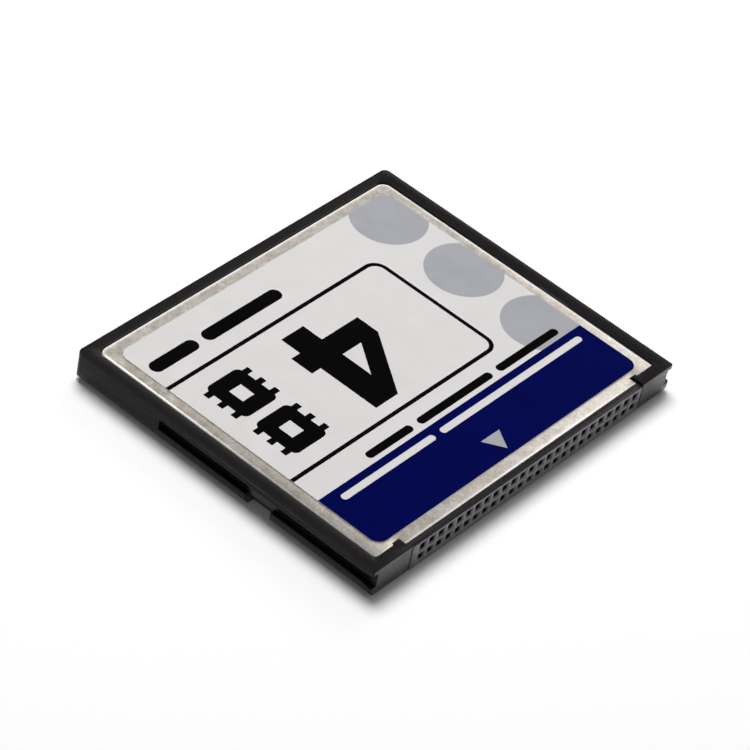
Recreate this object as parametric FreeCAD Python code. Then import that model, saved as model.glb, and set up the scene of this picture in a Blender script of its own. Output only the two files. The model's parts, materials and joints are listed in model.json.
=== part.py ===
import FreeCAD, Part
import os
from math import tan, acos, sqrt

# Removable memory card: a plastic frame closed by two folded steel covers, a socket
# connector with two rows of contacts along the front edge, and a populated circuit board inside.
# Millimetres. The origin is the bottom centre, +X along the width, the connector faces -Y
# and +Z leaves the labelled side.

# Outside of the frame
card_width = 42.8
card_length = 36.4
card_thickness = 3.3
rear_corner_radius = 0.7
front_corner_radius = 0.18
top_edge_bevel = 0.06
side_underside_bevel = 0.57
side_underside_rise = 0.67
front_underside_bevel = 0.25

# Guide grooves, one in each side, and the notch in each lower rail
groove_lip_height = 0.8
groove_height = 1.1
groove_depth = 0.65
groove_length = 25.78
mouth_flare = 0.25
mouth_length = 1.2
notch_from_front = 12.0
notch_length = 3.0
notch_wall_height = 1.05
notch_web = 0.12

# Folded sheet steel covers
sheet_thickness = 0.2
cover_side_margin = 1.53
cover_rear_margin = 1.15
cover_front_margin = 0.67
post_cap_depth = 1.25
post_tab_reach = 0.23
post_tab_width = 0.85
cover_rear_radius = 1.05
cover_front_radius = 0.4
cover_fold_radius = 0.3
cover_flange_height = 0.9
cover_gap = 0.1
cover_ledge_width = 0.6

# Connector: two rows of square holes
contact_pitch = 1.27
row_spacing = 1.27
contact_hole = 0.6
hole_lead_in = 0.12
connector_side_margin = 4.96
connector_shift = 0.3
hole_shift = 0.3
connector_end_wall = 1.2
connector_depth = 6.0
connector_gap = 0.12
connector_lip_drop = 0.25
ear_length = 0.9
ear_depth = 1.3
ear_height = 1.5
ear_setback = 0.8

# Fork contacts
fork_slot = 0.34
fork_beam = 0.09
fork_width = 0.36
fork_setback = 0.6
fork_base_length = 0.5
fork_back_gap = 0.3
tail_thickness = 0.1
tail_foot_length = 1.1
tail_foot_start = 0.5

# Circuit board
board_thickness = 0.6
board_side_gap = 0.1
board_front_gap = 0.15
board_shelf_width = 0.6
chip_headroom = 0.08

# Leaded packages: moulded body, lead pitch and lead section
lead_thickness = 0.13
lead_width = 0.2
lead_reach = 0.8
lead_foot = 0.5
package_standoff = 0.06
pin_mark_radius = 0.4
pin_mark_depth = 0.1
pin_mark_inset = 1.0
memory_width_share = 0.3192
memory_end_gap = 3.175
memory_lead_pitch = 0.5
memory_lead_margin = 0.25
memory_inset = 1.0
controller_width_share = 0.266
controller_lead_pitch = 0.5
controller_lead_margin = 1.25
package_spacing = 1.4
regulator_body = (2.9, 1.6)
crystal_body = (3.2, 2.5)
crystal_height = 0.7
crystal_lid_height = 0.12
crystal_lid_inset = 0.25
tantalum_body = (3.2, 1.6)
chip_capacitor = (1.6, 0.8, 0.75)
chip_resistor = (1.0, 0.5, 0.35)
end_cap_length = 0.25
end_cap_swell = 0.04
small_part_spacing = 0.7
capacitor_count = 5
resistor_count = 8

# Label on the top cover, and the print in it
label_thickness = 0.08
print_depth = 0.03
label_side_margin = 1.28
label_rear_margin = 1.4
label_front_margin = 1.33
label_corner_radius = 1.1
band_length = 7.2
box_line_width = 0.46
box_corner_radius = 1.3
box_rear_margin = 6.22
box_right_margin = 8.57
box_above_band = 3.15
disc_from_side = 2.75
disc_from_rear = 2.82
disc_above_band = 2.57
disc_radius_share = 0.408
disc_count = 3
arrow_width = 2.6
arrow_length = 2.1
arrow_from_front = 0.7

# Figure and signs, as shares of the boxed field's width and height
numeral_start_share = 0.417
numeral_width_share = 0.322
numeral_foot_share = 0.1
numeral_height_share = 0.772
symbol_start_share = 0.07
symbol_width_share = 0.207
symbol_height_share = 0.334
symbol_gap_share = 0.065

# Strokes of the figure and walls of a sign, as shares of its own width or height
numeral_stem_share = 0.33
numeral_overhang_share = 0.13
numeral_counter_share = 0.28
numeral_tail_share = 0.2
numeral_bar_share = 0.22
symbol_pin_share = 0.12
symbol_wall_share = 0.25
symbol_pins = 3

# Rows of bars: heights, and where each starts and ends as a share of the label's width
rear_bar_height = 1.5
rear_bar_centre = 3.5
rear_bar_shares = ((0.019, 0.181), (0.205, 0.485))
front_bar_height = 0.9
front_bar_above_band = 0.95
front_bar_shares = ((0.205, 0.372), (0.396, 0.676), (0.7, 0.937))
band_bar_height = 0.75
band_bar_below_edge = 1.2
band_bar_shares = ((0.051, 0.39), (0.415, 0.964))

# Places worked out from the sizes above
half_width = card_width / 2
half_length = card_length / 2
front_y = -half_length
rear_y = half_length
mid_z = card_thickness / 2

cover_half_width = half_width - cover_side_margin
cover_rear_y = rear_y - cover_rear_margin
cover_front_y = front_y + cover_front_margin
cover_corner_y = front_y + post_cap_depth
cover_tab_y = cover_corner_y + post_tab_reach
cover_top_z = card_thickness - label_thickness
sheet_under_z = cover_top_z - sheet_thickness

connector_half_width = half_width - connector_side_margin
connector_back_y = front_y + connector_depth
bay_half_width = connector_half_width + connector_gap
cover_strip_half_width = bay_half_width - cover_gap
post_tab_x = bay_half_width + post_tab_width

board_bottom_z = mid_z - board_thickness / 2
board_top_z = mid_z + board_thickness / 2
window_half_width = cover_half_width - sheet_thickness - cover_gap - cover_ledge_width
window_rear_y = cover_rear_y - sheet_thickness - cover_gap - cover_ledge_width
board_half_width = window_half_width - board_side_gap
board_rear_y = window_rear_y - board_side_gap
board_front_y = connector_back_y + board_front_gap
tail_end_y = board_front_y + tail_foot_start + tail_foot_length
board_middle_y = (tail_end_y + board_rear_y) / 2

label_half_width = cover_half_width - label_side_margin
label_rear_y = cover_rear_y - label_rear_margin
label_front_y = cover_front_y + label_front_margin
band_edge_y = label_front_y + band_length
print_bottom_z = card_thickness - print_depth
box_left_x = -label_half_width
box_right_x = label_half_width - box_right_margin
box_front_y = band_edge_y + box_above_band
box_rear_y = label_rear_y - box_rear_margin
box_width = box_right_x - box_left_x
box_height = box_rear_y - box_front_y

top_room = sheet_under_z - board_top_z
bottom_room = board_bottom_z - sheet_thickness
memory_width = 2 * board_half_width * memory_width_share
memory_length = board_rear_y - tail_end_y - 2 * (lead_reach + memory_end_gap)
controller_body = 2 * board_half_width * controller_width_share
memory_x = -board_half_width + memory_inset + memory_width / 2
controller_x = memory_x + memory_width / 2 + package_spacing + lead_reach + controller_body / 2
small_parts_x = controller_x + controller_body / 2 + lead_reach + package_spacing + crystal_body[0] / 2

# How far a cutting shape runs past the surface that it opens
cut_over = 1.0


def box(x0, x1, y0, y1, z0, z1):
    return Part.makeBox(x1 - x0, y1 - y0, z1 - z0, FreeCAD.Vector(x0, y0, z0))


def rounded_outline(corners):
    # Closed wire in the XY plane through corners given as (x, y, radius)
    edges = []
    starts, ends = [], []
    count = len(corners)
    for index, (x, y, radius) in enumerate(corners):
        corner = FreeCAD.Vector(x, y, 0)
        before = FreeCAD.Vector(*corners[index - 1][:2], 0) - corner
        after = FreeCAD.Vector(*corners[(index + 1) % count][:2], 0) - corner
        before.normalize()
        after.normalize()
        if radius == 0:
            starts.append(corner)
            ends.append(corner)
            continue
        half_angle = acos(before.dot(after)) / 2
        reach = radius / tan(half_angle)
        start = corner + before * reach
        end = corner + after * reach
        bisector = (before + after).normalize()
        middle = corner + bisector * (sqrt(reach ** 2 + radius ** 2) - radius)
        edges.append(Part.Arc(start, middle, end).toShape())
        starts.append(start)
        ends.append(end)
    for index in range(count):
        following = starts[(index + 1) % count]
        if (following - ends[index]).Length > 1e-7:
            edges.append(Part.LineSegment(ends[index], following).toShape())
    return Part.Wire(Part.__sortEdges__(edges))


def plate(corners, z0, z1):
    face = Part.Face(rounded_outline(corners))
    face.translate(FreeCAD.Vector(0, 0, z0))
    return face.extrude(FreeCAD.Vector(0, 0, z1 - z0))


def rectangle(x0, x1, y0, y1, radius=0):
    return [(x0, y0, radius), (x1, y0, radius), (x1, y1, radius), (x0, y1, radius)]


def side_prism(points, x0, x1):
    # Solid between x0 and x1 whose section is given as (y, z) points
    vectors = [FreeCAD.Vector(x0, y, z) for y, z in points]
    face = Part.Face(Part.makePolygon(vectors + vectors[:1]))
    return face.extrude(FreeCAD.Vector(x1 - x0, 0, 0))


def front_prism(points, y0, y1):
    # Solid between y0 and y1 whose section is given as (x, z) points
    vectors = [FreeCAD.Vector(x, y0, z) for x, z in points]
    face = Part.Face(Part.makePolygon(vectors + vectors[:1]))
    return face.extrude(FreeCAD.Vector(0, y1 - y0, 0))


def both_sides(shape):
    return [shape, shape.mirror(FreeCAD.Vector(0, 0, 0), FreeCAD.Vector(1, 0, 0))]


def other_face(shape):
    # The same shape on the underside of the card
    return shape.mirror(FreeCAD.Vector(0, 0, mid_z), FreeCAD.Vector(0, 0, 1))


def top_edges(shape, z):
    return [e for e in shape.Edges if e.BoundBox.ZMin > z - 1e-6]


def cover_outline(grow):
    # Plan of a cover, with grow added all round: a strip between the posts, a step round each
    # post tab, then the full width
    strip = cover_strip_half_width + grow
    tab = post_tab_x - grow
    side = cover_half_width + grow
    front = cover_front_y - grow
    inner = cover_tab_y - grow
    corner = cover_corner_y - grow
    right = [
        (strip, front, 0),
        (strip, inner, 0),
        (tab, inner, 0),
        (tab, corner, 0),
        (side, corner, cover_front_radius + grow),
        (side, cover_rear_y + grow, cover_rear_radius + grow),
    ]
    left = [(-x, y, r) for x, y, r in reversed(right)]
    return right + left


def cover_ring_outline(inset):
    # Plan of the folded rim, run past the front so that the cover's own outline ends it
    side = cover_half_width - inset
    rear = cover_rear_y - inset
    radius = cover_rear_radius - inset
    front = front_y - cut_over
    return [(-side, front, 0), (side, front, 0), (side, rear, radius), (-side, rear, radius)]


def make_top_cover():
    low_z = cover_top_z - cover_flange_height
    outside = plate(cover_ring_outline(0), low_z, cover_top_z)
    outside = outside.makeFillet(cover_fold_radius, top_edges(outside, cover_top_z))
    inside = plate(cover_ring_outline(sheet_thickness), low_z - cut_over, sheet_under_z)
    inside = inside.makeFillet(cover_fold_radius - sheet_thickness, top_edges(inside, sheet_under_z))
    blank = plate(cover_outline(0), low_z, cover_top_z)
    return outside.cut(inside).common(blank)


def make_bottom_cover():
    # The underside has no label, so its sheet lies flush with the frame
    cover = other_face(make_top_cover())
    cover.translate(FreeCAD.Vector(0, 0, -label_thickness))
    return cover


def cover_seat():
    # Room in the frame for the top cover: its sheet, and a slot for the folded rim
    high_z = card_thickness + cut_over
    sheet_room = plate(cover_outline(cover_gap), sheet_under_z, high_z)
    slot_z = cover_top_z - cover_flange_height - cover_gap
    rim_room = plate(cover_ring_outline(-cover_gap), slot_z, high_z)
    rim_core = plate(cover_ring_outline(sheet_thickness + cover_gap), slot_z, high_z)
    rim_room = rim_room.cut(rim_core).common(plate(cover_outline(cover_gap), slot_z, high_z))
    return sheet_room.fuse(rim_room)


def underside_bevel(edge, size, height):
    # Section of the wedge cut from a lower edge; a negative size cuts towards the plus side
    return [(edge - size, 0), (edge + size, 0), (edge + size, 2 * height), (edge, height)]


def frame_blank():
    outline = [
        (-half_width, front_y, front_corner_radius),
        (half_width, front_y, front_corner_radius),
        (half_width, rear_y, rear_corner_radius),
        (-half_width, rear_y, rear_corner_radius),
    ]
    block = plate(outline, 0, card_thickness)
    block = block.makeChamfer(top_edge_bevel, top_edges(block, card_thickness))
    side = underside_bevel(half_width, side_underside_bevel, side_underside_rise)
    bevels = both_sides(front_prism(side, front_y - cut_over, rear_y + cut_over))
    reach = half_width + cut_over
    rear = underside_bevel(rear_y, side_underside_bevel, side_underside_rise)
    front = underside_bevel(front_y, -front_underside_bevel, front_underside_bevel)
    bevels += [side_prism(rear, -reach, reach), side_prism(front, -reach, reach)]
    return block.cut(bevels)


def guide_grooves():
    top_z = card_thickness - groove_lip_height
    bottom_z = top_z - groove_height
    inner_x = half_width - groove_depth
    outer_x = half_width + cut_over
    slot = box(inner_x, outer_x, front_y - cut_over, front_y + groove_length, bottom_z, top_z)
    upper = [(front_y, top_z), (front_y, top_z + mouth_flare), (front_y + mouth_length, top_z)]
    lower = [(front_y, bottom_z), (front_y, bottom_z - mouth_flare), (front_y + mouth_length, bottom_z)]
    notch_y = front_y + notch_from_front
    notch = box(inner_x, outer_x, notch_y, notch_y + notch_length, -cut_over, bottom_z + mouth_flare)
    web_x = cover_half_width + cover_gap + notch_web
    under = [(inner_x, notch_wall_height), (web_x, notch_wall_height - (inner_x - web_x)), (web_x, -cut_over),
             (inner_x, -cut_over)]
    undercut = front_prism(under, notch_y, notch_y + notch_length)
    shapes = [slot, side_prism(upper, inner_x, outer_x), side_prism(lower, inner_x, outer_x), notch, undercut]
    return [copy for shape in shapes for copy in both_sides(shape)]


def ear_plate(grow):
    # The two ears that hold the connector in the frame, as one bar across the card
    y1 = connector_back_y - ear_setback
    reach = connector_half_width + ear_length + grow
    return box(connector_shift - reach, connector_shift + reach, y1 - ear_depth - grow, y1 + grow,
               mid_z - ear_height / 2, mid_z + ear_height / 2)


def make_frame():
    frame = frame_blank()
    over = cut_over
    window_front = connector_back_y
    upper_window = box(-window_half_width, window_half_width, window_front, window_rear_y,
                       board_bottom_z, card_thickness + over)
    shelf = window_half_width - board_shelf_width
    lower_window = box(-shelf, shelf, window_front, window_rear_y - board_shelf_width,
                       -over, board_bottom_z)
    bay = box(connector_shift - bay_half_width, connector_shift + bay_half_width, front_y - over, window_front,
              -over, card_thickness + over)
    ear_room = ear_plate(connector_gap)
    ear_path = box(ear_room.BoundBox.XMin, ear_room.BoundBox.XMax, ear_room.BoundBox.YMin,
                   ear_room.BoundBox.YMax, ear_room.BoundBox.ZMin, sheet_under_z)
    top_seat = cover_seat()
    bottom_seat = other_face(top_seat)
    bottom_seat.translate(FreeCAD.Vector(0, 0, -label_thickness))
    cuts = [upper_window, lower_window, bay, ear_path, top_seat, bottom_seat] + guide_grooves()
    return frame.cut(cuts).removeSplitter()


def centred_places(room, pitch):
    # As many places a pitch apart as the room holds, centred on zero
    count = int(room / pitch + 1e-6) + 1
    return [pitch * (index - (count - 1) / 2) for index in range(count)]


def contact_places():
    places = centred_places(2 * (connector_half_width - connector_end_wall), contact_pitch)
    return [connector_shift + hole_shift + x for x in places]


def square_wire(x, y, z, half):
    # Square in the plane at y, half its side given
    turns = [(-1, -1), (1, -1), (1, 1), (-1, 1)]
    corners = [FreeCAD.Vector(x + a * half, y, z + b * half) for a, b in turns]
    return Part.makePolygon(corners + corners[:1])


def hole_tool(x, z):
    half = contact_hole / 2
    hole = box(x - half, x + half, front_y - cut_over, connector_back_y + cut_over, z - half, z + half)
    wide = half + hole_lead_in
    mouth = square_wire(x, front_y, z, wide)
    throat = square_wire(x, front_y + hole_lead_in, z, half)
    return hole.fuse(Part.makeLoft([mouth, throat], True, True))


def make_connector_body():
    left, right = connector_shift - connector_half_width, connector_shift + connector_half_width
    lip_back_y = cover_front_y - cover_gap
    lip = box(left, right, front_y, lip_back_y, connector_lip_drop, card_thickness - connector_lip_drop)
    core = box(left, right, front_y, connector_back_y, sheet_thickness, sheet_under_z)
    ears = ear_plate(0)
    body = lip.fuse([core, ears])
    rows = (mid_z - row_spacing / 2, mid_z + row_spacing / 2)
    tools = [hole_tool(x, z) for z in rows for x in contact_places()]
    return body.cut(tools).removeSplitter()


def make_upper_contacts():
    # A fork that grips the host's pin, a base pressed in its cavity, and a tail on the board
    z = mid_z + row_spacing / 2
    half = fork_width / 2
    tip_y = front_y + fork_setback
    base_end = connector_back_y - fork_back_gap
    base_y = base_end - fork_base_length
    foot_y = board_front_y + tail_foot_start
    inner = fork_slot / 2
    outer = inner + fork_beam
    low_z = min(board_top_z, z - tail_thickness / 2)
    wide = contact_hole / 2
    pieces = [
        box(-half, half, tip_y, base_y, z + inner, z + outer),
        box(-half, half, tip_y, base_y, z - outer, z - inner),
        box(-wide, wide, base_y, base_end, z - wide, z + wide),
        box(-half, half, base_end, foot_y, z - tail_thickness / 2, z + tail_thickness / 2),
        box(-half, half, foot_y - tail_thickness, foot_y, low_z, z + tail_thickness / 2),
        box(-half, half, foot_y - tail_thickness, foot_y + tail_foot_length, board_top_z,
            board_top_z + tail_thickness),
    ]
    contact = pieces[0].fuse(pieces[1:]).removeSplitter()
    row = []
    for x in contact_places():
        copy = contact.copy()
        copy.translate(FreeCAD.Vector(x, 0, 0))
        row.append(copy)
    return Part.makeCompound(row)


def make_circuit_board():
    return box(-board_half_width, board_half_width, board_front_y, board_rear_y, board_bottom_z, board_top_z)


def package_height(room):
    return room - package_standoff - chip_headroom


def on_board(shape, x, y):
    copy = shape.copy()
    copy.translate(FreeCAD.Vector(x, y, board_top_z))
    return copy


def moulded_body(width, length, height):
    # Package body, standing just clear of the board
    return box(-width / 2, width / 2, -length / 2, length / 2, package_standoff, package_standoff + height)


def marked_body(width, length, height):
    # Package body with a round pin-one dimple near one corner
    spot = FreeCAD.Vector(-width / 2 + pin_mark_inset, length / 2 - pin_mark_inset,
                          package_standoff + height - pin_mark_depth)
    return moulded_body(width, length, height).cut(Part.makeCylinder(pin_mark_radius, height, spot))


def gull_lead(height):
    # One bent lead leaving the body in +Y from y = 0
    shoulder = package_standoff + height / 2
    foot_start = lead_reach - lead_foot
    points = [
        (0, shoulder + lead_thickness), (foot_start + lead_thickness, shoulder + lead_thickness),
        (foot_start + lead_thickness, lead_thickness), (lead_reach, lead_thickness),
        (lead_reach, 0), (foot_start, 0), (foot_start, shoulder), (0, shoulder),
    ]
    return side_prism(points, -lead_width / 2, lead_width / 2)


def lead_row(height, places, edge):
    row = []
    for x in places:
        lead = gull_lead(height)
        lead.translate(FreeCAD.Vector(x, edge, 0))
        row.append(lead)
    return row


def turned(shapes, angle):
    out = []
    for shape in shapes:
        copy = shape.copy()
        copy.rotate(FreeCAD.Vector(0, 0, 0), FreeCAD.Vector(0, 0, 1), angle)
        out.append(copy)
    return out


def make_memory_chip(room):
    body = marked_body(memory_width, memory_length, package_height(room))
    return on_board(body, memory_x, board_middle_y)


def make_memory_leads(room):
    places = centred_places(memory_width - 2 * memory_lead_margin, memory_lead_pitch)
    row = lead_row(package_height(room), places, memory_length / 2)
    return on_board(Part.makeCompound(row + turned(row, 180)), memory_x, board_middle_y)


def make_controller():
    body = marked_body(controller_body, controller_body, package_height(top_room))
    return on_board(body, controller_x, board_middle_y)


def make_controller_leads():
    places = centred_places(controller_body - 2 * controller_lead_margin, controller_lead_pitch)
    row = lead_row(package_height(top_room), places, controller_body / 2)
    leads = [lead for angle in range(0, 360, 90) for lead in turned(row, angle)]
    return on_board(Part.makeCompound(leads), controller_x, board_middle_y)


def make_crystal():
    width, length = crystal_body
    base_height = crystal_height - crystal_lid_height
    base = box(-width / 2, width / 2, -length / 2, length / 2, 0, base_height)
    x, y = width / 2 - crystal_lid_inset, length / 2 - crystal_lid_inset
    lid = plate(rectangle(-x, x, -y, y, crystal_lid_inset), base_height, crystal_height)
    return on_board(base.fuse(lid), small_parts_x, board_middle_y)


def regulator_y():
    return board_middle_y + crystal_body[1] / 2 + package_spacing + lead_reach + regulator_body[1] / 2


def make_regulator():
    return on_board(moulded_body(*regulator_body, package_height(top_room)), small_parts_x, regulator_y())


def make_regulator_leads():
    height = package_height(top_room)
    third = regulator_body[0] / 3
    edge = regulator_body[1] / 2
    pair = lead_row(height, (-third, third), edge)
    single = turned(lead_row(height, (0,), edge), 180)
    return on_board(Part.makeCompound(pair + single), small_parts_x, regulator_y())


def capped_chip(width, length, height):
    # A two-terminal chip part: a ceramic block between two plated ends
    swell = end_cap_swell
    block = box(-width / 2, width / 2, -length / 2, length / 2, swell, height - swell)
    outer_x = width / 2
    inner_x = outer_x - end_cap_length
    cap = box(inner_x, outer_x, -length / 2 - swell, length / 2 + swell, 0, height)
    return block.fuse(both_sides(cap)).removeSplitter()


def make_tantalum_capacitor():
    y = board_middle_y - crystal_body[1] / 2 - package_spacing - tantalum_body[1] / 2
    return on_board(capped_chip(*tantalum_body, top_room - chip_headroom), small_parts_x, y)


def chip_row(size, count, y):
    # A row of like parts side by side, in line with the controller
    pitch = size[1] + small_part_spacing
    first = controller_x - pitch * (count - 1) / 2
    row = []
    for index in range(count):
        part = turned([capped_chip(*size)], 90)[0]
        row.append(on_board(part, first + index * pitch, y))
    return Part.makeCompound(row)


def make_capacitors():
    reach = controller_body / 2 + lead_reach + small_part_spacing + chip_capacitor[0] / 2
    return chip_row(chip_capacitor, capacitor_count, board_middle_y + reach)


def make_resistors():
    reach = controller_body / 2 + lead_reach + small_part_spacing + chip_resistor[0] / 2
    return chip_row(chip_resistor, resistor_count, board_middle_y - reach)


def label_outline():
    return rectangle(-label_half_width, label_half_width, label_front_y, label_rear_y, label_corner_radius)


def print_solid(corners):
    return plate(corners, print_bottom_z, card_thickness)


def bar_row(centre_y, height, shares):
    # Plain round-ended bars in a line
    bars = []
    low_y, high_y = centre_y - height / 2, centre_y + height / 2
    for start, end in shares:
        x0 = label_half_width * (2 * start - 1)
        x1 = label_half_width * (2 * end - 1)
        bars.append(print_solid(rectangle(x0, x1, low_y, high_y, height / 2)))
    return bars


def band_bars():
    return bar_row(band_edge_y - band_bar_below_edge, band_bar_height, band_bar_shares)


def make_arrow():
    # Points at the connector edge
    apex_y = label_front_y + arrow_from_front
    base_y = apex_y + arrow_length
    half = arrow_width / 2
    return print_solid([(-half, base_y, 0), (0, apex_y, 0), (half, base_y, 0)])


def make_band():
    whole = print_solid(label_outline())
    band = whole.common(box(-half_width, half_width, front_y, band_edge_y, 0, card_thickness + cut_over))
    return band.cut([make_arrow()] + band_bars())


def make_box_line():
    # An outline open at the label's left edge
    solids = []
    for grow in (box_line_width / 2, -box_line_width / 2):
        x, y0, y1 = box_right_x + grow, box_front_y - grow, box_rear_y + grow
        radius = box_corner_radius + grow
        corners = [(box_left_x, y0, 0), (x, y0, radius), (x, y1, radius), (box_left_x, y1, 0)]
        solids.append(print_solid(corners))
    return solids[0].cut(solids[1])


def make_numeral():
    # A plain figure four, upright when the card is seen from its rear edge
    width = box_width * numeral_width_share
    height = box_height * numeral_height_share
    bar_low = height * numeral_tail_share
    bar_high = bar_low + height * numeral_bar_share
    stem_right = width - width * numeral_overhang_share
    stem_left = stem_right - width * numeral_stem_share
    slope = (height - bar_high) / stem_left
    outer = [
        (stem_left, 0), (stem_right, 0), (stem_right, bar_low), (width, bar_low), (width, bar_high),
        (stem_right, bar_high), (stem_right, height), (stem_left, height), (0, bar_high),
        (0, bar_low), (stem_left, bar_low),
    ]
    counter_left = stem_left - width * numeral_counter_share
    counter_top = bar_high + (stem_left - counter_left) * slope
    inner = [(counter_left, bar_high), (stem_left, bar_high), (stem_left, counter_top)]
    figure = print_solid([(x, y, 0) for x, y in outer]).cut(print_solid([(x, y, 0) for x, y in inner]))
    figure.rotate(FreeCAD.Vector(width / 2, height / 2, 0), FreeCAD.Vector(0, 0, 1), 180)
    x = box_left_x + box_width * numeral_start_share
    y = box_front_y + box_height * numeral_foot_share
    figure.translate(FreeCAD.Vector(x, y, 0))
    return figure


def chip_symbol(x0, y0, width, height):
    # A plain chip sign: a square with a window and short pins on two sides
    x1, y1 = x0 + width, y0 + height
    pin = width * symbol_pin_share
    wall = width * symbol_wall_share
    body = print_solid(rectangle(x0 + pin, x1 - pin, y0, y1, pin))
    pins = []
    for index in range(symbol_pins):
        y = y0 + height * (index + 0.5) / symbol_pins
        pins.append(print_solid(rectangle(x0, x1, y - pin / 2, y + pin / 2)))
    window = print_solid(rectangle(x0 + pin + wall, x1 - pin - wall, y0 + height / 3, y1 - height / 3))
    return body.fuse(pins).cut(window).removeSplitter()


def make_symbols():
    middle = (box_front_y + box_rear_y) / 2
    x0 = box_left_x + box_width * symbol_start_share
    width = box_width * symbol_width_share
    height = box_height * symbol_height_share
    gap = box_height * symbol_gap_share
    front = chip_symbol(x0, middle - gap / 2 - height, width, height)
    rear = chip_symbol(x0, middle + gap / 2, width, height)
    return Part.makeCompound([front, rear])


def make_black_bars():
    rear = bar_row(label_rear_y - rear_bar_centre, rear_bar_height, rear_bar_shares)
    front = bar_row(band_edge_y + front_bar_above_band, front_bar_height, front_bar_shares)
    return Part.makeCompound(rear + front)


def make_discs():
    whole = print_solid(label_outline())
    keep = box(-half_width, half_width, band_edge_y, rear_y, 0, card_thickness + cut_over)
    bars = make_black_bars().Solids
    x = label_half_width - disc_from_side
    first_y = label_rear_y - disc_from_rear
    last_y = band_edge_y + disc_above_band
    spacing = (first_y - last_y) / (disc_count - 1)
    discs = []
    for index in range(disc_count):
        centre = FreeCAD.Vector(x, first_y - index * spacing, print_bottom_z)
        disc = Part.makeCylinder(spacing * disc_radius_share, print_depth, centre)
        discs.append(disc.common(whole).common(keep).cut(bars))
    return Part.makeCompound(discs)


def make_label(prints):
    blank = plate(label_outline(), cover_top_z, card_thickness)
    return blank.cut([solid for shape in prints for solid in shape.Solids])


def build():
    prints = {
        "label_band": make_band(),
        "label_arrow": make_arrow(),
        "label_discs": make_discs(),
        "label_box_line": make_box_line(),
        "label_numeral": make_numeral(),
        "label_symbols": make_symbols(),
        "label_bars": make_black_bars(),
    }
    upper_contacts = make_upper_contacts()
    nodes = {
        "frame": make_frame(),
        "top_cover": make_top_cover(),
        "bottom_cover": make_bottom_cover(),
        "front_label": make_label(prints.values()),
        "connector_body": make_connector_body(),
        "upper_contacts": upper_contacts,
        "lower_contacts": other_face(upper_contacts),
        "circuit_board": make_circuit_board(),
        "memory_chip_top": make_memory_chip(top_room),
        "memory_chip_top_leads": make_memory_leads(top_room),
        "memory_chip_bottom": other_face(make_memory_chip(bottom_room)),
        "memory_chip_bottom_leads": other_face(make_memory_leads(bottom_room)),
        "controller_chip": make_controller(),
        "controller_chip_leads": make_controller_leads(),
        "clock_crystal": make_crystal(),
        "voltage_regulator": make_regulator(),
        "voltage_regulator_leads": make_regulator_leads(),
        "tantalum_capacitor": make_tantalum_capacitor(),
        "ceramic_capacitors": make_capacitors(),
        "pull_up_resistors": make_resistors(),
    }
    nodes.update(prints)
    return nodes


os.makedirs("parts", exist_ok=True)
for name, shape in build().items():
    shape.exportStep("parts/" + name + ".step")
    print(name, len(shape.Solids), "solids", round(shape.Volume, 3), "mm3", shape.isValid())
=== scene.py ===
import json
from math import radians

import bmesh
import bpy
from mathutils import Matrix, Vector


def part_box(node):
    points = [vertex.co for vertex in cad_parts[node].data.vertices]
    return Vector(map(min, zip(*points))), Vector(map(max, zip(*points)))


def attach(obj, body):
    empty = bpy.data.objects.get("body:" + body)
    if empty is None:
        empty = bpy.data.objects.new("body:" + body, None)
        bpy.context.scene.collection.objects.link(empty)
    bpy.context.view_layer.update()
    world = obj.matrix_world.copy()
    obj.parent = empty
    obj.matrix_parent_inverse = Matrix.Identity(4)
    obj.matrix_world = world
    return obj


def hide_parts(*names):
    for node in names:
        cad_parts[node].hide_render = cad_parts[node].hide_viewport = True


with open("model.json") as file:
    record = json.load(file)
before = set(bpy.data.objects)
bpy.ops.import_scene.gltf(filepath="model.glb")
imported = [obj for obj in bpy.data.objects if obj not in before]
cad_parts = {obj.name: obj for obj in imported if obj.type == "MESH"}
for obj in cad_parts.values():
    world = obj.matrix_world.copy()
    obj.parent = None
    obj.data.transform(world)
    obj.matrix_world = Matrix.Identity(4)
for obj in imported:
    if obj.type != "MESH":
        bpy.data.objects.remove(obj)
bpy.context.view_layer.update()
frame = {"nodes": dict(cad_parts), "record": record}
nodes = frame["nodes"]
print("frame loaded:", len(nodes), "nodes")

mm = 0.001
floatSocket, vectorSocket = "NodeSocketFloat", "NodeSocketVector"
white = (1, 1, 1, 1)


class Graph:
    # Adds nodes to one tree and links them; values that aren't sockets are set as they are
    def __init__(self, tree):
        self.tree = tree

    def put(self, kind, inputs=None, **settings):
        node = self.tree.nodes.new(kind)
        for name, value in settings.items():
            setattr(node, name, value)
        for name, value in (inputs or {}).items():
            self.feed(node.inputs[name], value)
        return node

    def feed(self, socket, value):
        if isinstance(value, bpy.types.NodeSocket):
            self.tree.links.new(value, socket)
        else:
            socket.default_value = value

    def math(self, operation, a, b=0.0, clamp=False):
        return self.put("ShaderNodeMath", {0: a, 1: b}, operation=operation, use_clamp=clamp).outputs[0]

    def vector(self, operation, a, b=None):
        inputs = {0: a} if b is None else {0: a, 1: b}
        return self.put("ShaderNodeVectorMath", inputs, operation=operation).outputs

    def parts(self, vector):
        return self.put("ShaderNodeSeparateXYZ", {0: vector}).outputs

    def noise(self, where, scale, detail, roughness=0.55):
        inputs = {"Vector": where, "Scale": scale, "Detail": detail, "Roughness": roughness}
        return self.put("ShaderNodeTexNoise", inputs).outputs["Fac"]

    def ramp(self, value, low, high, toLow=0.0, toHigh=1.0):
        inputs = {"Value": value, "From Min": low, "From Max": high, "To Min": toLow, "To Max": toHigh}
        return self.put("ShaderNodeMapRange", inputs, clamp=True).outputs["Result"]

    def mix(self, factor, a, b, blend="MIX"):
        node = self.put("ShaderNodeMix", data_type="RGBA", blend_type=blend)
        for name, value in (("Factor_Float", factor), ("A_Color", a), ("B_Color", b)):
            self.feed(next(s for s in node.inputs if s.identifier == name), value)
        return next(s for s in node.outputs if s.identifier == "Result_Color")


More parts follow.
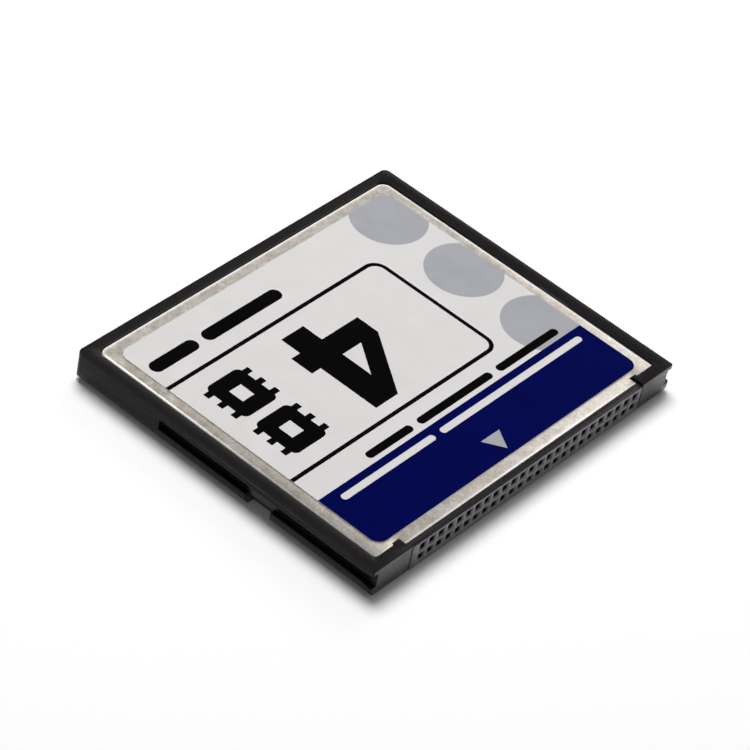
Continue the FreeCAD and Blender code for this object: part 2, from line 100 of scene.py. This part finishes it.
def newGroup(name, inputs, outputs):
    tree = bpy.data.node_groups.new(name, "ShaderNodeTree")
    for label, kind, value in inputs:
        socket = tree.interface.new_socket(name=label, in_out="INPUT", socket_type=kind)
        if value is not None:
            socket.default_value = value
    for label in outputs:
        tree.interface.new_socket(name=label, in_out="OUTPUT", socket_type=floatSocket)
    graph = Graph(tree)
    return graph, graph.put("NodeGroupInput").outputs, graph.put("NodeGroupOutput").inputs


grainLook = {"contrast": (0.3, 0.7), "fineDetail": (2.0, 0.6), "broadDetail": (3.0, 0.5)}


def makeGrainGroup():
    # Fine surface grain: two sizes of noise, for moulded plastic, ink and sheet metal
    g, source, result = newGroup(
        "surfaceGrain",
        [("Vector", vectorSocket, None), ("Fine Scale", floatSocket, 9000.0), ("Broad Scale", floatSocket, 700.0),
         ("Broad Share", floatSocket, 0.4)],
        ["Grain", "Fine", "Broad"])
    contrast = grainLook["contrast"]
    fine = g.ramp(g.noise(source["Vector"], source["Fine Scale"], *grainLook["fineDetail"]), *contrast)
    broad = g.ramp(g.noise(source["Vector"], source["Broad Scale"], *grainLook["broadDetail"]), *contrast)
    both = g.put("ShaderNodeMix", {0: source["Broad Share"], 2: fine, 3: broad}, data_type="FLOAT").outputs[0]
    for label, value in (("Grain", both), ("Fine", fine), ("Broad", broad)):
        g.feed(result[label], value)
    return g.tree


def makeBandGroup():
    # How near a point is to the edge of a rounded plate: 1 on the edge, 0 further in than Width
    g, source, result = newGroup(
        "edgeBand",
        [("Vector", vectorSocket, None), ("Half Size", vectorSocket, (0.02, 0.017, 0.0)),
         ("Centre", vectorSocket, (0.0, 0.0, 0.0)), ("Corner", floatSocket, 0.001), ("Width", floatSocket, 0.0003)],
        ["Band"])
    local = g.vector("SUBTRACT", source["Vector"], source["Centre"])[0]
    past = g.parts(g.vector("SUBTRACT", g.vector("ABSOLUTE", local)[0], source["Half Size"])[0])
    x = g.math("ADD", past["X"], source["Corner"])
    y = g.math("ADD", past["Y"], source["Corner"])
    flat = g.put("ShaderNodeCombineXYZ", {"X": g.math("MAXIMUM", x, 0.0), "Y": g.math("MAXIMUM", y, 0.0)}).outputs[0]
    outer = g.vector("LENGTH", flat)["Value"]
    inner = g.math("MINIMUM", g.math("MAXIMUM", x, y), 0.0)
    distance = g.math("SUBTRACT", g.math("ADD", outer, inner), source["Corner"])
    depth = g.math("DIVIDE", g.math("MULTIPLY", distance, -1.0), source["Width"])
    g.feed(result["Band"], g.math("SUBTRACT", 1.0, depth, clamp=True))
    return g.tree


grainGroup = makeGrainGroup()
bandGroup = makeBandGroup()


class Finish:
    # A material being built: its graph, its object coordinates and its Principled shader
    def __init__(self, name):
        self.material = bpy.data.materials.new(name)
        self.material.use_nodes = True
        self.graph = Graph(self.material.node_tree)
        self.shader = self.material.node_tree.nodes["Principled BSDF"]
        place = self.graph.put("ShaderNodeTexCoord").outputs
        self.where, self.normal = place["Object"], place["Normal"]

    def grain(self, fine, broad, share):
        node = self.graph.put("ShaderNodeGroup", node_tree=grainGroup)
        for name, value in (("Vector", self.where), ("Fine Scale", fine), ("Broad Scale", broad),
                            ("Broad Share", share)):
            self.graph.feed(node.inputs[name], value)
        return node.outputs

    def bump(self, height, depth, strength=1.0):
        node = self.graph.put("ShaderNodeBump", {"Height": height, "Distance": depth, "Strength": strength})
        self.graph.feed(self.shader.inputs["Normal"], node.outputs["Normal"])

    def set(self, **values):
        for name, value in values.items():
            self.graph.feed(self.shader.inputs[name.replace("_", " ")], value)

    def tones(self, grain, colour, low, high):
        return self.graph.mix(grain, shade(colour, low), shade(colour, high))


def srgb(r, g, b):
    # 0-255 picture values to the linear colour a shader takes
    linear = [((v / 255 + 0.055) / 1.055) ** 2.4 if v > 10 else v / 255 / 12.92 for v in (r, g, b)]
    return (*linear, 1.0)


def shade(colour, factor):
    return tuple(min(1.0, v * factor) for v in colour[:3]) + (1.0,)


def paintedSideLightMask(g, where, normal, paintedSideLight):
    # Painted light on the frame's sides: a painted highlight line along each side near the top, strongest over the
    # notch, painted bounce light on the notch's own wall and, faintly, on the rail under the groove
    place = g.parts(where)
    side = g.ramp(g.math("ABSOLUTE", normal["X"]), *paintedSideLight["sideNormal"])
    fromNotch = g.math("ABSOLUTE", g.math("SUBTRACT", place["Y"], paintedSideLight["notchMiddle"]))
    offLine = g.math("ABSOLUTE", g.math("SUBTRACT", place["Z"], paintedSideLight["lineHeight"]))
    line = g.ramp(offLine, paintedSideLight["lineHalf"], paintedSideLight["lineHalf"] * paintedSideLight["lineCore"])
    line = g.math("MULTIPLY", line, g.ramp(fromNotch, paintedSideLight["lineReach"], 0.0, *paintedSideLight["lineShare"]))
    inset = g.ramp(g.math("ABSOLUTE", place["X"]), paintedSideLight["wallInset"], paintedSideLight["wallInset"] - paintedSideLight["insetFade"])
    nearNotch = g.ramp(fromNotch, paintedSideLight["notchHalf"] + paintedSideLight["notchFade"], paintedSideLight["notchHalf"])
    wall = g.math("MULTIPLY", g.math("MULTIPLY", inset, nearNotch), paintedSideLight["wallShare"])
    rail = g.ramp(place["Z"], paintedSideLight["railTop"], paintedSideLight["railTop"] - paintedSideLight["railFade"], 0.0, paintedSideLight["railShare"])
    return g.math("MULTIPLY", side, g.math("MAXIMUM", g.math("MAXIMUM", line, rail), wall))


faceNormals = {"front": (-0.9, -0.98), "broken": (0.97, 0.85), "upward": (0.0, 0.5), "filmSide": (0.8, 0.5)}


def mouldedPlastic(name, settings):
    # Spark-eroded moulding: fine grain in colour, gloss and height, with the front faces painted lighter (painted
    # light; on the connector partly its own paler face) and painted highlight and shade on the bevelled edges
    look = Finish(name)
    g = look.graph
    grain = look.grain(settings["fineScale"], settings["broadScale"], settings["broadShare"])
    normal = g.parts(look.normal)
    front = g.ramp(normal["Y"], *faceNormals["front"])
    squareness = g.math("MAXIMUM", g.math("ABSOLUTE", normal["X"]), g.math("ABSOLUTE", normal["Y"]))
    squareness = g.math("MAXIMUM", squareness, normal["Z"])
    edge = g.ramp(squareness, *faceNormals["broken"])
    upward = g.ramp(normal["Z"], *faceNormals["upward"])
    # Front faces painted lighter: painted light standing in for the floor's reflection, on the connector partly its
    # own paler face
    base = g.mix(front, settings["colour"], settings["frontColour"])
    # Bevelled slopes painted by which way they face: painted highlights on the connector's hole funnels and edges,
    # painted shade along the frame's edges
    base = g.mix(edge, base, g.mix(upward, settings["downSlopePaintedLight"], settings["upSlopePaintedLight"]))
    # Painted highlight line and painted bounce light on the frame's sides, mixed into the colour
    if "paintedSideLight" in settings:
        base = g.mix(paintedSideLightMask(g, look.where, normal, settings["paintedSideLight"]), base, settings["paintedSideLight"]["colour"])
    speckle = g.ramp(grain["Grain"], 0, 1, 1 - settings["mottle"], 1 + settings["mottle"])
    grey = g.put("ShaderNodeCombineColor", {0: speckle, 1: speckle, 2: speckle}).outputs[0]
    look.set(Base_Color=g.mix(1.0, base, grey, blend="MULTIPLY"),
             Roughness=g.ramp(grain["Grain"], 0, 1, *settings["gloss"]),
             Coat_Weight=g.math("MULTIPLY", front, settings["polish"]))
    look.shader.inputs["Specular IOR Level"].default_value = settings["shine"]
    look.shader.inputs["Coat Roughness"].default_value = settings["polishGloss"]
    look.bump(grain["Fine"], settings["grainDepth"])
    return look.material


framePlastic = {
    # Front and slope tones here are painted light: a barely lighter front and a painted dark line on the bevelled
    # edges
    "colour": srgb(22, 20, 20), "frontColour": srgb(24, 23, 24), "upSlopePaintedLight": srgb(14, 13, 13),
    "downSlopePaintedLight": srgb(14, 13, 13), "mottle": 0.15,
    "gloss": (0.24, 0.32), "shine": 0.11, "polish": 0.65, "polishGloss": 0.3,
    "fineScale": 7000, "broadScale": 500, "broadShare": 0.35, "grainDepth": 0.0015 * mm,
    # Painted side light: a painted highlight line near the top, painted bounce light on the notch wall and the rail
    "paintedSideLight": {
        "colour": srgb(78, 79, 84), "sideNormal": (0.8, 0.95),
        "lineHeight": 3.1 * mm, "lineHalf": 0.07 * mm, "lineCore": 0.3, "lineReach": 12 * mm, "lineShare": (0.12, 0.9),
        "notchMiddle": -4.7 * mm, "notchHalf": 1.6 * mm, "notchFade": 0.3 * mm,
        "wallInset": 21.1 * mm, "insetFade": 0.1 * mm, "wallShare": 0.8,
        "railTop": 1.1 * mm, "railFade": 0.1 * mm, "railShare": 0.3,
    },
}
connectorPlastic = {
    # Front face partly its own paler plastic, partly painted light; the slope tones are painted highlights on the hole
    # funnels and edges
    "colour": srgb(34, 30, 32), "frontColour": srgb(93, 92, 96), "upSlopePaintedLight": srgb(128, 128, 134),
    "downSlopePaintedLight": srgb(112, 111, 116), "mottle": 0.12,
    "gloss": (0.24, 0.32), "shine": 0.15, "polish": 0.8, "polishGloss": 0.3,
    "fineScale": 6000, "broadScale": 600, "broadShare": 0.5, "grainDepth": 0.002 * mm,
}
chipCompound = {
    "colour": srgb(38, 38, 40), "frontColour": srgb(38, 38, 40), "upSlopePaintedLight": srgb(48, 48, 50),
    "downSlopePaintedLight": srgb(38, 38, 40), "mottle": 0.3,
    "gloss": (0.5, 0.7), "shine": 0.35, "polish": 0.0, "polishGloss": 0.3,
    "fineScale": 9000, "broadScale": 900, "broadShare": 0.3, "grainDepth": 0.01 * mm,
}


steelSheet = {
    "dark": srgb(182, 172, 159), "light": srgb(247, 243, 238), "warm": srgb(204, 189, 167),
    "fineScale": 4200, "broadScale": 900, "broadShare": 0.45, "roughness": (0.3, 0.4), "grainDepth": 0.004 * mm,
    "tintScale": 260, "tintDetail": 2.0, "tintContrast": (0.35, 0.65), "tintShare": 0.35,
    # Fold band: near-white painted highlight, broken up by the broad grain
    "rim": srgb(250, 246, 242), "rimWidth": 0.35 * mm, "rimWear": (1.3, 1.8), "rimMetal": 0.12,
    "rimRoughness": 0.22, "rimShift": (-0.1 * mm, -0.1 * mm, 0), "corner": 1.05 * mm,
}


def rolledSteel(name, settings, cover):
    # Dull rolled sheet with a speckled grain, and a painted highlight along the fold: a near-white, less metallic,
    # smoother band standing in for the fold's reflection
    look = Finish(name)
    g = look.graph
    grain = look.grain(settings["fineScale"], settings["broadScale"], settings["broadShare"])
    tint = g.ramp(g.noise(look.where, settings["tintScale"], settings["tintDetail"]), *settings["tintContrast"])
    body = g.mix(grain["Grain"], settings["dark"], settings["light"])
    body = g.mix(g.math("MULTIPLY", tint, settings["tintShare"]), body, settings["warm"])
    low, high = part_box(cover)
    band = g.put("ShaderNodeGroup", node_tree=bandGroup)
    for label, value in (("Vector", look.where), ("Width", settings["rimWidth"]), ("Corner", settings["corner"]),
                         ("Half Size", (high - low) / 2),
                         ("Centre", (low + high) / 2 + Vector(settings["rimShift"]))):
        g.feed(band.inputs[label], value)
    # Painted highlight along the fold, broken up by the broad grain
    glintSpread = g.ramp(grain["Broad"], 0, 1, *settings["rimWear"])
    glintBand = g.math("MULTIPLY", band.outputs["Band"], glintSpread, clamp=True)
    dull = g.ramp(grain["Grain"], 0, 1, *settings["roughness"])
    look.set(Base_Color=g.mix(glintBand, body, settings["rim"]), Metallic=g.ramp(glintBand, 0, 1, 1.0, settings["rimMetal"]),
             Roughness=g.ramp(glintBand, 0, 1, dull, settings["rimRoughness"]))
    look.bump(grain["Grain"], settings["grainDepth"])
    return look.material


def printedFilm(name, settings):
    # Semi-gloss film or ink: nearly even, with a soft cloudy tone and a slight ripple, and its side faces painted
    # near-white as painted light on the shaded sides
    look = Finish(name)
    g = look.graph
    grain = look.grain(settings["fineScale"], settings["broadScale"], settings["broadShare"])
    colour = look.tones(grain["Grain"], settings["colour"], 1 - settings["mottle"], 1 + settings["mottle"])
    if "marble" in settings:
        marble = settings["marble"]
        warped = g.put("ShaderNodeTexNoise", {"Vector": look.where, "Scale": marble["scale"],
                                              "Detail": marble["detail"], "Distortion": marble["distortion"]})
        veins = g.math("MULTIPLY", g.ramp(warped.outputs["Fac"], *marble["contrast"]), marble["share"])
        colour = g.mix(veins, colour, marble["vein"])
    sideFaces = g.ramp(g.parts(look.normal)["Z"], *faceNormals["filmSide"])
    look.set(Base_Color=g.mix(sideFaces, colour, litFilmSide), Roughness=g.ramp(grain["Broad"], 0, 1, *settings["gloss"]))
    look.shader.inputs["Specular IOR Level"].default_value = settings["shine"]
    look.bump(grain["Grain"], settings["rippleDepth"])
    return look.material


# Painted light: the near-white colour of the shaded side faces of the label and inks
litFilmSide = srgb(246, 243, 238)
whiteFilm = {
    "colour": srgb(215, 212, 212), "mottle": 0.03, "gloss": (0.14, 0.2), "shine": 0.1,
    "fineScale": 2500, "broadScale": 330, "broadShare": 0.75, "rippleDepth": 0.004 * mm,
}
blueInk = {
    "colour": srgb(0, 5, 74), "mottle": 0.12, "gloss": (0.12, 0.17), "shine": 0.03,
    "fineScale": 2500, "broadScale": 260, "broadShare": 0.8, "rippleDepth": 0.003 * mm,
}
greyInk = {
    "colour": srgb(162, 163, 168), "mottle": 0.04, "gloss": (0.14, 0.2), "shine": 0.08,
    "fineScale": 2500, "broadScale": 500, "broadShare": 0.7, "rippleDepth": 0.003 * mm,
    "marble": {"vein": srgb(170, 170, 174), "share": 0.3, "scale": 330.0, "detail": 4.0, "distortion": 1.6,
               "contrast": (0.4, 0.6)},
}
blackInk = {
    "colour": srgb(5, 4, 4), "mottle": 0.25, "gloss": (0.12, 0.17), "shine": 0.03,
    "fineScale": 2500, "broadScale": 300, "broadShare": 0.7, "rippleDepth": 0.003 * mm,
}


platedLook = {"broadRatio": 8, "share": 0.5, "tones": (0.82, 1.08), "smoother": 0.06, "rougher": 0.08,
              "grainDepth": 0.002 * mm}


def platedMetal(name, colour, roughness, scale):
    # Plated or tinned metal with a fine grain and a slightly uneven gloss
    look = Finish(name)
    g = look.graph
    grain = look.grain(scale, scale / platedLook["broadRatio"], platedLook["share"])
    look.set(Base_Color=look.tones(grain["Grain"], colour, *platedLook["tones"]), Metallic=1.0,
             Roughness=g.ramp(grain["Fine"], 0, 1, roughness - platedLook["smoother"],
                              roughness + platedLook["rougher"]))
    look.bump(grain["Fine"], platedLook["grainDepth"])
    return look.material


laminate = {
    "mask": srgb(18, 96, 52), "copper": srgb(30, 122, 66), "traceScale": 1400, "traceEdge": (0.12, 0.18),
    "traceHeight": 0.02 * mm, "traceStrength": 0.6, "weaveScale": 3800, "weaveBend": 0.6, "weaveShare": 0.12,
    "weaveShade": 0.5, "gloss": (0.28, 0.36),
}


def solderMask(name, settings):
    # Green lacquer over copper tracks that stand slightly proud, with the glass weave faint below
    look = Finish(name)
    g = look.graph
    cells = g.put("ShaderNodeTexVoronoi", {"Vector": look.where, "Scale": settings["traceScale"], "Randomness": 0.0},
                  feature="DISTANCE_TO_EDGE", voronoi_dimensions="2D")
    track = g.ramp(cells.outputs["Distance"], *settings["traceEdge"])
    weave = g.put("ShaderNodeTexWave", {"Vector": look.where, "Scale": settings["weaveScale"],
                                        "Distortion": settings["weaveBend"]},
                  wave_type="BANDS", bands_direction="DIAGONAL").outputs["Fac"]
    colour = g.mix(track, settings["mask"], settings["copper"])
    faint = g.math("MULTIPLY", weave, settings["weaveShare"])
    colour = g.mix(faint, colour, shade(settings["mask"], settings["weaveShade"]))
    look.set(Base_Color=colour, Roughness=g.ramp(weave, 0, 1, *settings["gloss"]))
    look.bump(track, settings["traceHeight"], settings["traceStrength"])
    return look.material


ceramicLook = {"fineScale": 8000, "broadScale": 1500, "broadShare": 0.4, "tones": (0.85, 1.12), "glossSpread": 0.08,
               "grainDepth": 0.003 * mm}


def firedCeramic(name, colour, roughness):
    # Speckled ceramic or moulded case
    look = Finish(name)
    g = look.graph
    grain = look.grain(ceramicLook["fineScale"], ceramicLook["broadScale"], ceramicLook["broadShare"])
    spread = ceramicLook["glossSpread"]
    look.set(Base_Color=look.tones(grain["Grain"], colour, *ceramicLook["tones"]),
             Roughness=g.ramp(grain["Grain"], 0, 1, roughness - spread, roughness + spread))
    look.bump(grain["Fine"], ceramicLook["grainDepth"])
    return look.material


finishes = {
    "frame_plastic": mouldedPlastic("framePlastic", framePlastic),
    "connector_plastic": mouldedPlastic("connectorPlastic", connectorPlastic),
    "chip_compound": mouldedPlastic("chipCompound", chipCompound),
    "cover_steel": rolledSteel("rolledSteel", steelSheet, "top_cover"),
    "label_film": printedFilm("whiteFilm", whiteFilm),
    "blue_ink": printedFilm("blueInk", blueInk),
    "grey_ink": printedFilm("greyInk", greyInk),
    "black_ink": printedFilm("blackInk", blackInk),
    "contact_metal": platedMetal("goldPlate", srgb(224, 178, 92), 0.3, 5000),
    "tinned_lead": platedMetal("tinPlate", srgb(198, 198, 196), 0.36, 6000),
    "crystal_can": platedMetal("crystalLid", srgb(205, 201, 188), 0.32, 4000),
    "board_laminate": solderMask("solderMask", laminate),
    "tantalum_case": firedCeramic("tantalumCase", srgb(205, 165, 48), 0.5),
    "capacitor_ceramic": firedCeramic("capacitorCeramic", srgb(172, 138, 102), 0.45),
    "resistor_ceramic": firedCeramic("resistorCeramic", srgb(52, 52, 56), 0.4),
}
nodeSlots = {part["node"]: part["material_slot"] for part in frame["record"]["subparts"]}
for name, node in nodes.items():
    node.data.materials.clear()
    node.data.materials.append(finishes[nodeSlots[name]])
print("finishes built:", len(finishes))


meshCleaning = {"merge": 0.0005 * mm, "flat": radians(0.5)}


def cleaned(mesh, flatten):
    # Merges loose corners, and joins coplanar triangles where the mesh is to be bevelled
    shape = bmesh.new()
    shape.from_mesh(mesh)
    bmesh.ops.remove_doubles(shape, verts=shape.verts, dist=meshCleaning["merge"])
    if flatten:
        bmesh.ops.dissolve_limit(shape, angle_limit=meshCleaning["flat"], verts=shape.verts, edges=shape.edges)
    shape.to_mesh(mesh)
    shape.free()
    return mesh


def applied(body):
    # Turns the evaluated object into its own plain mesh
    graph = bpy.context.evaluated_depsgraph_get()
    graph.update()
    plain = bpy.data.meshes.new_from_object(body.evaluated_get(graph), preserve_all_data_layers=True, depsgraph=graph)
    plain.name = body.name
    body.modifiers.clear()
    body.data = plain
    return plain


leadIns = {
    "Pitch": 1.27 * mm, "Columns": 25.0, "Plain Mouth": 0.84 * mm, "Plain Throat": 0.6 * mm,
    "Plain Depth": 0.12 * mm, "Mouth": 0.98 * mm, "Throat": 0.76 * mm, "Depth": 0.16 * mm,
    "Middle": (0.6 * mm, -18.2 * mm, 1.65 * mm),
}
leadInReach = {"mouthHalf": 0.51, "depth": 1.1, "face": 0.5, "rowMiddle": 0.5, "rows": 1.0}


def leadInTree():
    # Widens and deepens the small funnel at the mouth of each contact hole
    tree = bpy.data.node_groups.new("leadInTree", "GeometryNodeTree")
    tree.interface.new_socket(name="Body", in_out="INPUT", socket_type="NodeSocketGeometry")
    for label in leadIns:
        kind = vectorSocket if label == "Middle" else floatSocket
        tree.interface.new_socket(name=label, in_out="INPUT", socket_type=kind)
    tree.interface.new_socket(name="Finish", in_out="INPUT", socket_type="NodeSocketMaterial")
    tree.interface.new_socket(name="Body", in_out="OUTPUT", socket_type="NodeSocketGeometry")
    g = Graph(tree)
    given = g.put("NodeGroupInput").outputs
    position = g.put("GeometryNodeInputPosition").outputs[0]
    across, inward, up = g.parts(g.vector("SUBTRACT", position, given["Middle"])[0])
    column = g.math("ROUND", g.math("DIVIDE", across, given["Pitch"]))
    row = g.math("ADD", g.math("FLOOR", g.math("DIVIDE", up, given["Pitch"])), leadInReach["rowMiddle"])
    fromHoleX = g.math("SUBTRACT", across, g.math("MULTIPLY", column, given["Pitch"]))
    fromHoleZ = g.math("SUBTRACT", up, g.math("MULTIPLY", row, given["Pitch"]))
    reach = g.math("MAXIMUM", g.math("ABSOLUTE", fromHoleX), g.math("ABSOLUTE", fromHoleZ))
    inColumns = g.math("LESS_THAN", g.math("ABSOLUTE", column), g.math("DIVIDE", given["Columns"], 2.0))
    inRows = g.math("LESS_THAN", g.math("ABSOLUTE", row), leadInReach["rows"])
    inMouth = g.math("LESS_THAN", reach, g.math("MULTIPLY", given["Plain Mouth"], leadInReach["mouthHalf"]))
    inDepth = g.math("LESS_THAN", inward, g.math("MULTIPLY", given["Plain Depth"], leadInReach["depth"]))
    chosen = g.math("MULTIPLY", g.math("MULTIPLY", inColumns, inRows), g.math("MULTIPLY", inMouth, inDepth))
    atFace = g.math("LESS_THAN", inward, g.math("MULTIPLY", given["Plain Depth"], leadInReach["face"]))
    behind = g.math("SUBTRACT", 1.0, atFace)
    mouth = g.math("MULTIPLY", g.math("DIVIDE", given["Mouth"], given["Plain Mouth"]), atFace)
    throat = g.math("MULTIPLY", g.math("DIVIDE", given["Throat"], given["Plain Throat"]), behind)
    widen = g.math("MULTIPLY", g.math("SUBTRACT", g.math("ADD", mouth, throat), 1.0), chosen)
    deeper = g.math("SUBTRACT", given["Depth"], given["Plain Depth"])
    deepen = g.math("MULTIPLY", deeper, g.math("MULTIPLY", behind, chosen))
    move = g.put("ShaderNodeCombineXYZ", {0: g.math("MULTIPLY", fromHoleX, widen), 1: deepen,
                                          2: g.math("MULTIPLY", fromHoleZ, widen)}).outputs[0]
    shaped = g.put("GeometryNodeSetPosition", {"Geometry": given["Body"], "Offset": move}).outputs[0]
    plain = g.put("GeometryNodeRealizeInstances", {"Geometry": shaped}).outputs[0]
    finished = g.put("GeometryNodeSetMaterial", {"Geometry": plain, "Material": given["Finish"]}).outputs[0]
    g.feed(g.put("NodeGroupOutput").inputs["Body"], finished)
    return tree


def shapeLeadIns(body):
    tree = leadInTree()
    modifier = body.modifiers.new("leadIns", "NODES")
    modifier.node_group = tree
    values = {**leadIns, "Finish": finishes["connector_plastic"]}
    for item in tree.interface.items_tree:
        if item.in_out == "INPUT" and item.name in values:
            modifier[item.identifier] = values[item.name]
    applied(body)


edgeBreaks = {
    "frame": {"piece": "frameShell", "width": 0.05 * mm, "segments": 2, "angle": 35},
    "connector_body": {"piece": "connectorBlock", "width": 0.025 * mm, "segments": 2, "angle": 35},
    "top_cover": {"piece": "topSheet", "width": 0.02 * mm, "segments": 1, "angle": 30},
    "bottom_cover": {"piece": "bottomSheet", "width": 0.02 * mm, "segments": 1, "angle": 30},
}


def breakEdges(name, settings):
    # The CAD's own mesh with its sharp edges finely broken
    body = bpy.data.objects.new(settings["piece"], cleaned(nodes[name].data.copy(), False))
    bpy.context.scene.collection.objects.link(body)
    if name == "connector_body":
        shapeLeadIns(body)
    mesh = cleaned(body.data, True)
    mesh.polygons.foreach_set("use_smooth", [True] * len(mesh.polygons))
    bevel = body.modifiers.new("bevel", "BEVEL")
    bevel.width = settings["width"]
    bevel.segments = settings["segments"]
    bevel.limit_method = "ANGLE"
    bevel.angle_limit = radians(settings["angle"])
    bevel.harden_normals = True
    body.modifiers.new("triangles", "TRIANGULATE").keep_custom_normals = True
    applied(body)
    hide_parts(name)
    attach(body, "root")
    print("edges broken:", body.name, len(body.data.polygons), "faces")


for name, settings in edgeBreaks.items():
    breakEdges(name, settings)


def seenDirectly(g):
    # 1 for what the camera, a reflection or a transparent piece sees, 0 for light on the object
    path = g.put("ShaderNodeLightPath").outputs
    seen = g.math("MAXIMUM", path["Is Camera Ray"], path["Is Glossy Ray"])
    return g.math("MAXIMUM", seen, path["Is Transmission Ray"])


floorLook = {
    "seen": white, "bounce": srgb(248, 248, 248), "lift": 0.015, "roughness": 0.9, "reach": 3.0, "height": -0.01 * mm,
}


def makeFloor():
    # Just under the card, and clear from below, so that the underside can be looked at
    mesh = bpy.data.meshes.new("floor")
    reach, height = floorLook["reach"], floorLook["height"]
    corners = [(-reach, -reach, height), (reach, -reach, height), (reach, reach, height), (-reach, reach, height)]
    mesh.from_pydata(corners, [], [(0, 1, 2, 3)])
    floor = bpy.data.objects.new("floor", mesh)
    bpy.context.scene.collection.objects.link(floor)
    material = bpy.data.materials.new("paleFloor")
    material.use_nodes = True
    g = Graph(material.node_tree)
    shader = material.node_tree.nodes["Principled BSDF"]
    seen = seenDirectly(g)
    g.feed(shader.inputs["Base Color"], g.mix(seen, floorLook["bounce"], floorLook["seen"]))
    shader.inputs["Roughness"].default_value = floorLook["roughness"]
    shader.inputs["Specular IOR Level"].default_value = 0.0
    shader.inputs["Emission Color"].default_value = white
    g.feed(shader.inputs["Emission Strength"], g.math("MULTIPLY", seen, floorLook["lift"]))
    below = g.put("ShaderNodeNewGeometry").outputs["Backfacing"]
    clear = g.put("ShaderNodeBsdfTransparent").outputs[0]
    oneSided = g.put("ShaderNodeMixShader", {0: below, 1: shader.outputs[0], 2: clear}).outputs[0]
    g.feed(material.node_tree.nodes["Material Output"].inputs["Surface"], oneSided)
    mesh.materials.append(material)


skyLook = {
    "diffuse": 0.15, "horizon": 1.5, "zenith": 0.36, "fade": (0.38, 0.6),
    "panels": (
        {"seen": 1.2, "toward": (0.92, 0.02, 0.4), "fade": (0.84, 1.0)},
        {"seen": 2.5, "toward": (0.1, 0.4, 0.92), "fade": (0.93, 0.98)},
        {"seen": 2.0, "toward": (-0.25, 0.42, 0.87), "fade": (0.92, 0.98)},
    ),
}


def makeSky():
    # Plain white to the camera; what shines in the card is a bright horizon, a dim zenith and soft panels
    world = bpy.data.worlds.new("studio")
    world.use_nodes = True
    bpy.context.scene.world = world
    g = Graph(world.node_tree)
    background = world.node_tree.nodes["Background"]
    background.inputs["Color"].default_value = white
    camera = g.put("ShaderNodeLightPath").outputs["Is Camera Ray"]
    direction = g.put("ShaderNodeTexCoord").outputs["Generated"]
    reflected = g.ramp(g.parts(direction)["Z"], *skyLook["fade"], skyLook["horizon"], skyLook["zenith"])
    for panel in skyLook["panels"]:
        near = g.vector("DOT_PRODUCT", direction, tuple(Vector(panel["toward"]).normalized()))["Value"]
        reflected = g.math("MAXIMUM", reflected, g.ramp(near, *panel["fade"], 0.0, panel["seen"]))
    seen = seenDirectly(g)
    shining = g.math("MULTIPLY", seen, g.math("MAXIMUM", camera, reflected))
    soft = g.math("MULTIPLY", g.math("SUBTRACT", 1.0, seen), skyLook["diffuse"])
    g.feed(background.inputs["Strength"], g.math("ADD", shining, soft))


softboxes = {
    "keySoftbox": {"place": (0.1, 0.18, 0.5), "size": 0.28, "power": 2.8},
    "sideSoftbox": {"place": (0.4, 0.12, 0.26), "size": 0.2, "power": 0.3},
    "fillSoftbox": {"place": (0.2, -0.5, 0.22), "size": 0.3, "power": 0.1},
}


def addSoftbox(name, settings):
    # Lights the card without shining in it: the sky holds all that is mirrored
    light = bpy.data.lights.new(name, "AREA")
    light.shape = "SQUARE"
    light.size = settings["size"]
    light.energy = settings["power"]
    lamp = bpy.data.objects.new(name, light)
    lamp.location = settings["place"]
    lamp.rotation_euler = Vector(settings["place"]).to_track_quat("Z", "Y").to_euler()
    lamp.visible_glossy = False
    bpy.context.scene.collection.objects.link(lamp)


view = {
    "place": (-0.20871064, -0.13786869, 0.22007586),
    "right": (0.6536103, -0.7405572, 0.1561042),
    "up": (0.4230310, 0.5285111, 0.7360169),
    "back": (-0.6275654, -0.4150313, 0.6587189),
    "lens": 172.679, "sensor": 36, "nearest": 0.01, "furthest": 20,
}


def addCamera():
    data = bpy.data.cameras.new("camera")
    data.sensor_width = view["sensor"]
    data.lens = view["lens"]
    data.clip_start = view["nearest"]
    data.clip_end = view["furthest"]
    camera = bpy.data.objects.new("camera", data)
    turn = Matrix((view["right"], view["up"], view["back"])).transposed()
    camera.matrix_world = Matrix.Translation(view["place"]) @ turn.to_4x4()
    bpy.context.scene.collection.objects.link(camera)
    bpy.context.scene.camera = camera


makeFloor()
makeSky()
for name, settings in softboxes.items():
    addSoftbox(name, settings)
addCamera()
bpy.context.scene.view_settings.view_transform = "Standard"
print("stage, lights and camera placed")
